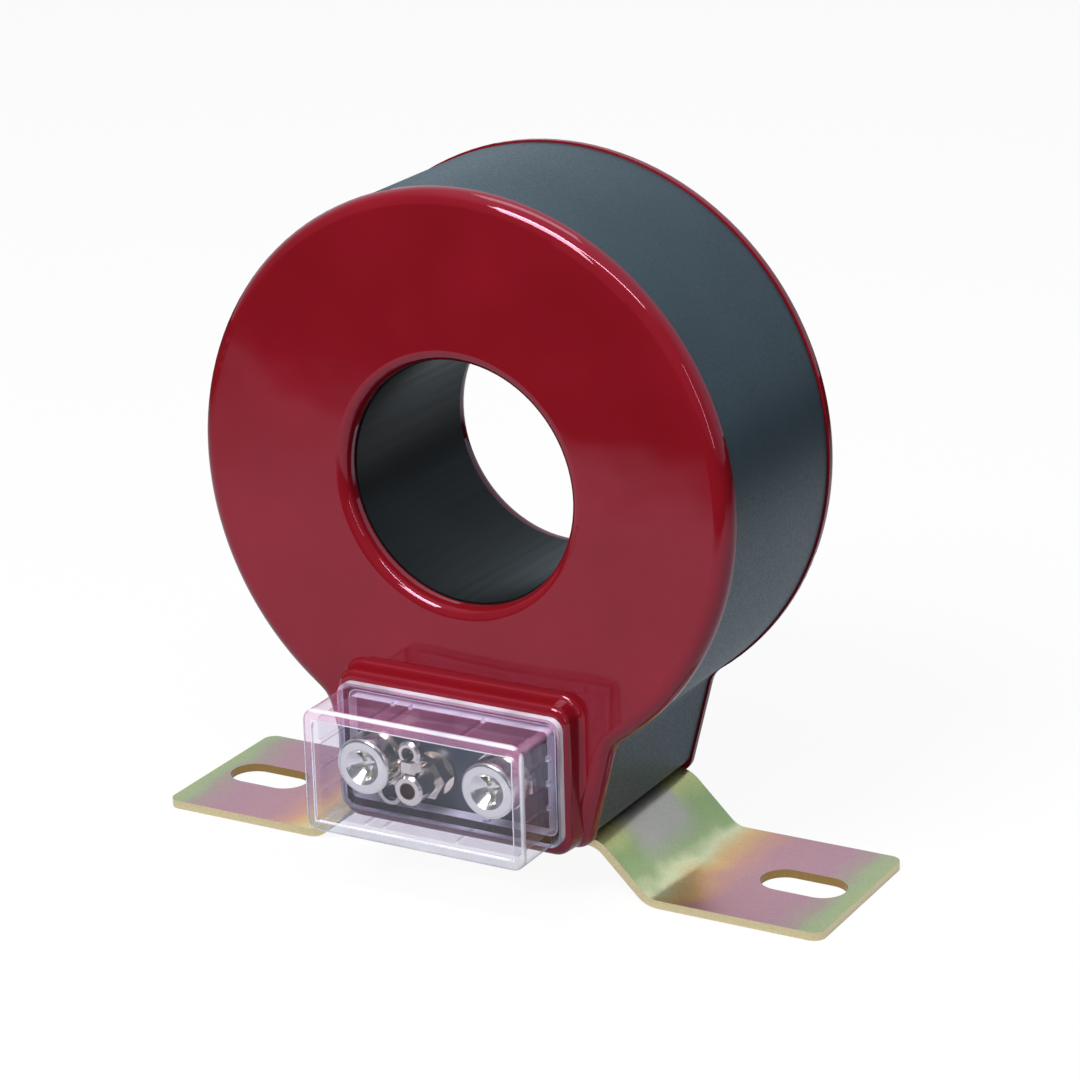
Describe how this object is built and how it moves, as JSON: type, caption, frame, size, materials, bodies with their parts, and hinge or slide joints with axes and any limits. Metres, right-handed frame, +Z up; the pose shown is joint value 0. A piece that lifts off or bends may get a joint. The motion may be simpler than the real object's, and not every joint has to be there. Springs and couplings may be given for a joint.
{
  "type": "current transformer",
  "caption": "Window-type low-voltage current transformer: round moulded case, clear terminal cover and a bent, slotted mounting strap.",
  "frame": {"origin": "middle of the pattern of the two foot slots, on the plane of the feet's undersides; it lies under the middle of the window in X and Y", "axes": "+X to the right across the front, +Y through the window from the front with the terminals to the rear, +Z up"},
  "size_m": [0.1288, 0.0583, 0.1205],
  "materials": {
    "red_plastic": "glossy moulded plastic",
    "dark_plastic": "satin moulded plastic",
    "liner_plastic": "satin moulded plastic",
    "core_steel": "wound strip",
    "insulation": "pressed board",
    "copper": "enamelled wire",
    "winding_tape": "polyester tape",
    "pad_rubber": "soft rubber",
    "slate_plastic": "satin moulded plastic",
    "nickel_plate": "turned and nickel plated",
    "nickel_washer": "stamped and nickel plated",
    "spring_steel": "plated spring steel",
    "nickel_screw": "cold headed and nickel plated",
    "tinned_brass": "tinned",
    "brass": "turned",
    "clear_plastic": "clear polycarbonate",
    "passivated_steel": "zinc plated, yellow passivated",
    "zinc_steel": "zinc plated"
  },
  "bodies": {
    "case": {"front_cover": "red_plastic", "rear_cover": "red_plastic", "case_band": "dark_plastic", "window_liner": "liner_plastic", "core": "core_steel", "core_cheek_front": "insulation", "core_cheek_rear": "insulation", "secondary_winding": "copper", "winding_tape": "winding_tape", "pads_front": "pad_rubber", "pads_rear": "pad_rubber", "terminal_panel": "slate_plastic", "terminal_post_left": "nickel_plate", "terminal_post_right": "nickel_plate", "clamp_washer_left": "nickel_washer", "clamp_washer_right": "nickel_washer", "spring_washer_left": "spring_steel", "spring_washer_right": "spring_steel", "seal_post": "nickel_plate", "seal_eyelet": "nickel_plate", "solder_tab": "tinned_brass", "stud_nuts": "brass", "ring_lug_left": "tinned_brass", "ring_lug_right": "tinned_brass", "lead_wire_left": "copper", "lead_wire_right": "copper", "mounting_strap": "passivated_steel", "threaded_inserts": "brass", "strap_washers": "zinc_steel", "strap_screws": "zinc_steel"},
    "cover": {"terminal_cover": "clear_plastic"},
    "screw_left": {"terminal_screw_left": "nickel_screw"},
    "screw_right": {"terminal_screw_right": "nickel_screw"}
  },
  "joints": [
    {"name": "cover_pull", "type": "slide", "parent": "case", "child": "cover", "axis": [0, -1, 0], "range_m": [0, 0.02]},
    {"name": "screw_left_turn", "type": "hinge", "parent": "case", "child": "screw_left", "pos_m": [-0.012, -0.03, 0.0236], "axis": [0, -1, 0], "range_deg": [0, 720]},
    {"name": "screw_right_turn", "type": "hinge", "parent": "case", "child": "screw_right", "pos_m": [0.012, -0.03, 0.0236], "axis": [0, -1, 0], "range_deg": [0, 720]}
  ]
}
